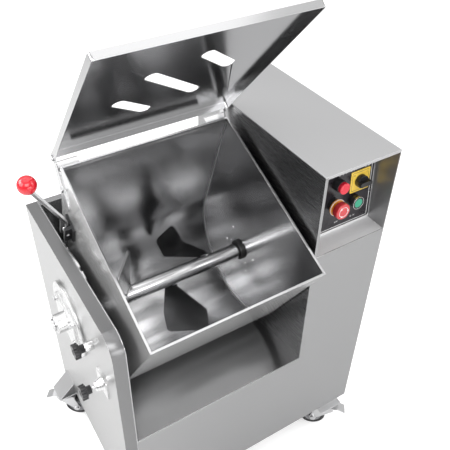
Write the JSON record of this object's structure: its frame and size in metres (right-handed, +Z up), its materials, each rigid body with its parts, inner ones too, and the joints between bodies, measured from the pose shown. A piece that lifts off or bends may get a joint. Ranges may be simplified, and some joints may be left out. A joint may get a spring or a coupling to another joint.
{
  "type": "meat mixer",
  "caption": "Floor-standing stainless meat mixer on casters: a tilting U-shaped tub with a slotted lid and mixing blades beside a tall drive column with controls.",
  "frame": {"origin": "on the floor, under the middle of the whole machine's outline", "axes": "+X to the right along the mixing shaft, +Y from the front to the back, +Z up"},
  "size_m": [0.8107, 0.6146, 1.3748],
  "materials": {
    "casing_steel": "brushed satin",
    "tub_steel": "brushed, slightly glossy",
    "turned_steel": "turned",
    "blade_steel": "brushed, darker",
    "bolt_steel": "bright",
    "zinc_steel": "bright zinc plated",
    "caster_rubber": "matte",
    "black_plastic": "satin",
    "red_plastic": "glossy",
    "green_plastic": "glossy",
    "yellow_plastic": "satin",
    "plate_plastic": "satin",
    "seal_rubber": "matte",
    "motor_paint": "semi gloss paint",
    "gearbox_metal": "cast, matte",
    "cast_metal": "machined casting"
  },
  "bodies": {
    "frame": {"side_panel": "casing_steel", "cabinet_shell": "casing_steel", "bay_liner": "casing_steel", "column_wall": "casing_steel", "control_niche": "casing_steel", "housing_top_cover": "casing_steel", "rear_cover": "casing_steel", "bottom_plate": "casing_steel", "bearing_disc": "turned_steel", "bearing_flange": "turned_steel", "flange_bolts": "bolt_steel", "right_bearing_housing": "cast_metal", "drive_bracket": "motor_paint", "gearbox": "gearbox_metal", "motor": "motor_paint", "electrical_box": "motor_paint", "cable_gland": "black_plastic", "clamp_bosses": "turned_steel", "lock_plate": "turned_steel", "control_plate": "plate_plastic", "button_bodies": "black_plastic", "start_ring": "turned_steel", "switch_plate": "yellow_plastic", "emergency_collar": "yellow_plastic", "caster_plates": "zinc_steel"},
    "tub": {"tub_trough": "tub_steel", "tub_end_left": "tub_steel", "tub_end_right": "tub_steel", "trunnion_left": "turned_steel", "trunnion_right": "turned_steel", "shaft_seals": "seal_rubber", "tub_fasteners": "bolt_steel", "lid_bracket_left": "tub_steel", "lid_bracket_right": "tub_steel", "lever_clevis": "black_plastic"},
    "lid": {"lid_panel": "tub_steel"},
    "lever": {"lock_lever": "turned_steel", "lever_ball": "red_plastic"},
    "agitator": {"agitator_shaft": "turned_steel", "agitator_blades": "blade_steel"},
    "knob_upper": {"star_knob_upper": "black_plastic", "knob_screw_upper": "turned_steel"},
    "knob_lower": {"star_knob_lower": "black_plastic", "knob_screw_lower": "turned_steel"},
    "stop": {"stop_button": "red_plastic"},
    "start": {"start_button": "green_plastic"},
    "switch": {"switch_knob": "black_plastic"},
    "emergency": {"emergency_head": "red_plastic"},
    "fork_front_left": {"caster_fork_front_left": "zinc_steel"},
    "wheel_front_left": {"caster_wheel_front_left": "caster_rubber"},
    "pedal_front_left": {"brake_pedal_front_left": "zinc_steel"},
    "fork_front_right": {"caster_fork_front_right": "zinc_steel"},
    "wheel_front_right": {"caster_wheel_front_right": "caster_rubber"},
    "pedal_front_right": {"brake_pedal_front_right": "zinc_steel"},
    "fork_rear_left": {"caster_fork_rear_left": "zinc_steel"},
    "wheel_rear_left": {"caster_wheel_rear_left": "caster_rubber"},
    "pedal_rear_left": {"brake_pedal_rear_left": "zinc_steel"},
    "fork_rear_right": {"caster_fork_rear_right": "zinc_steel"},
    "wheel_rear_right": {"caster_wheel_rear_right": "caster_rubber"},
    "pedal_rear_right": {"brake_pedal_rear_right": "zinc_steel"}
  },
  "joints": [
    {"name": "tub_tilt", "type": "hinge", "parent": "frame", "child": "tub", "pos_m": [0.04354, 0.03435, 0.606], "axis": [1, 0, 0], "range_deg": [-24.5, 52]},
    {"name": "lid_hinge", "type": "hinge", "parent": "tub", "child": "lid", "pos_m": [0.04354, 0.1442, 0.99674], "axis": [1, 0, 0], "range_deg": [-35, 72.7]},
    {"name": "lever_swing", "type": "hinge", "parent": "tub", "child": "lever", "pos_m": [-0.27296, 0.11086, 0.8167], "axis": [0, 0.91, 0.4147], "range_deg": [0, 3.2]},
    {"name": "agitator_spin", "type": "hinge", "parent": "frame", "child": "agitator", "pos_m": [0.04354, 0.03435, 0.606], "axis": [1, 0, 0], "continuous": true},
    {"name": "stop_press", "type": "slide", "parent": "frame", "child": "stop", "axis": [0, 0.9972, -0.075], "range_m": [0, 0.003], "stiffness_N_per_m": 600},
    {"name": "start_press", "type": "slide", "parent": "frame", "child": "start", "axis": [0, 0.9972, -0.075], "range_m": [0, 0.003], "stiffness_N_per_m": 600},
    {"name": "emergency_press", "type": "slide", "parent": "frame", "child": "emergency", "axis": [0, 0.9972, -0.075], "range_m": [0, 0.004], "stiffness_N_per_m": 600},
    {"name": "switch_turn", "type": "hinge", "parent": "frame", "child": "switch", "pos_m": [0.35954, -0.18435, 0.91365], "axis": [0, -0.9972, 0.075], "range_deg": [0, 90]},
    {"name": "knob_upper_turn", "type": "hinge", "parent": "frame", "child": "knob_upper", "pos_m": [-0.34646, -0.12265, 0.672], "axis": [1, 0, 0], "continuous": true},
    {"name": "knob_lower_turn", "type": "hinge", "parent": "frame", "child": "knob_lower", "pos_m": [-0.34646, -0.16265, 0.578], "axis": [1, 0, 0], "continuous": true},
    {"name": "swivel_front_left", "type": "hinge", "parent": "frame", "child": "fork_front_left", "pos_m": [-0.34146, -0.23765, 0.09], "axis": [0, 0, 1], "continuous": true},
    {"name": "roll_front_left", "type": "hinge", "parent": "fork_front_left", "child": "wheel_front_left", "pos_m": [-0.36767, -0.256, 0.0375], "axis": [0.5736, -0.8192, 0], "continuous": true},
    {"name": "brake_front_left", "type": "hinge", "parent": "fork_front_left", "child": "pedal_front_left", "pos_m": [-0.32507, -0.22618, 0.0807], "axis": [-0.5736, 0.8192, 0], "range_deg": [0, 9]},
    {"name": "swivel_front_right", "type": "hinge", "parent": "frame", "child": "fork_front_right", "pos_m": [0.33754, -0.23765, 0.09], "axis": [0, 0, 1], "continuous": true},
    {"name": "roll_front_right", "type": "hinge", "parent": "fork_front_right", "child": "wheel_front_right", "pos_m": [0.31199, -0.21839, 0.0375], "axis": [-0.6018, -0.7986, 0], "continuous": true},
    {"name": "brake_front_right", "type": "hinge", "parent": "fork_front_right", "child": "pedal_front_right", "pos_m": [0.35352, -0.24969, 0.0807], "axis": [0.6018, 0.7986, 0], "range_deg": [0, 9]},
    {"name": "swivel_rear_left", "type": "hinge", "parent": "frame", "child": "fork_rear_left", "pos_m": [-0.34146, 0.21635, 0.09], "axis": [0, 0, 1], "continuous": true},
    {"name": "roll_rear_left", "type": "hinge", "parent": "fork_rear_left", "child": "wheel_rear_left", "pos_m": [-0.3159, 0.19709, 0.0375], "axis": [0.6018, 0.7986, 0], "continuous": true},
    {"name": "brake_rear_left", "type": "hinge", "parent": "fork_rear_left", "child": "pedal_rear_left", "pos_m": [-0.35743, 0.22839, 0.0807], "axis": [-0.6018, -0.7986, 0], "range_deg": [0, 9]},
    {"name": "swivel_rear_right", "type": "hinge", "parent": "frame", "child": "fork_rear_right", "pos_m": [0.33754, 0.21635, 0.09], "axis": [0, 0, 1], "continuous": true},
    {"name": "roll_rear_right", "type": "hinge", "parent": "fork_rear_right", "child": "wheel_rear_right", "pos_m": [0.36206, 0.23692, 0.0375], "axis": [-0.6428, 0.766, 0], "continuous": true},
    {"name": "brake_rear_right", "type": "hinge", "parent": "fork_rear_right", "child": "pedal_rear_right", "pos_m": [0.32222, 0.20349, 0.0807], "axis": [0.6428, -0.766, 0], "range_deg": [0, 9]}
  ]
}
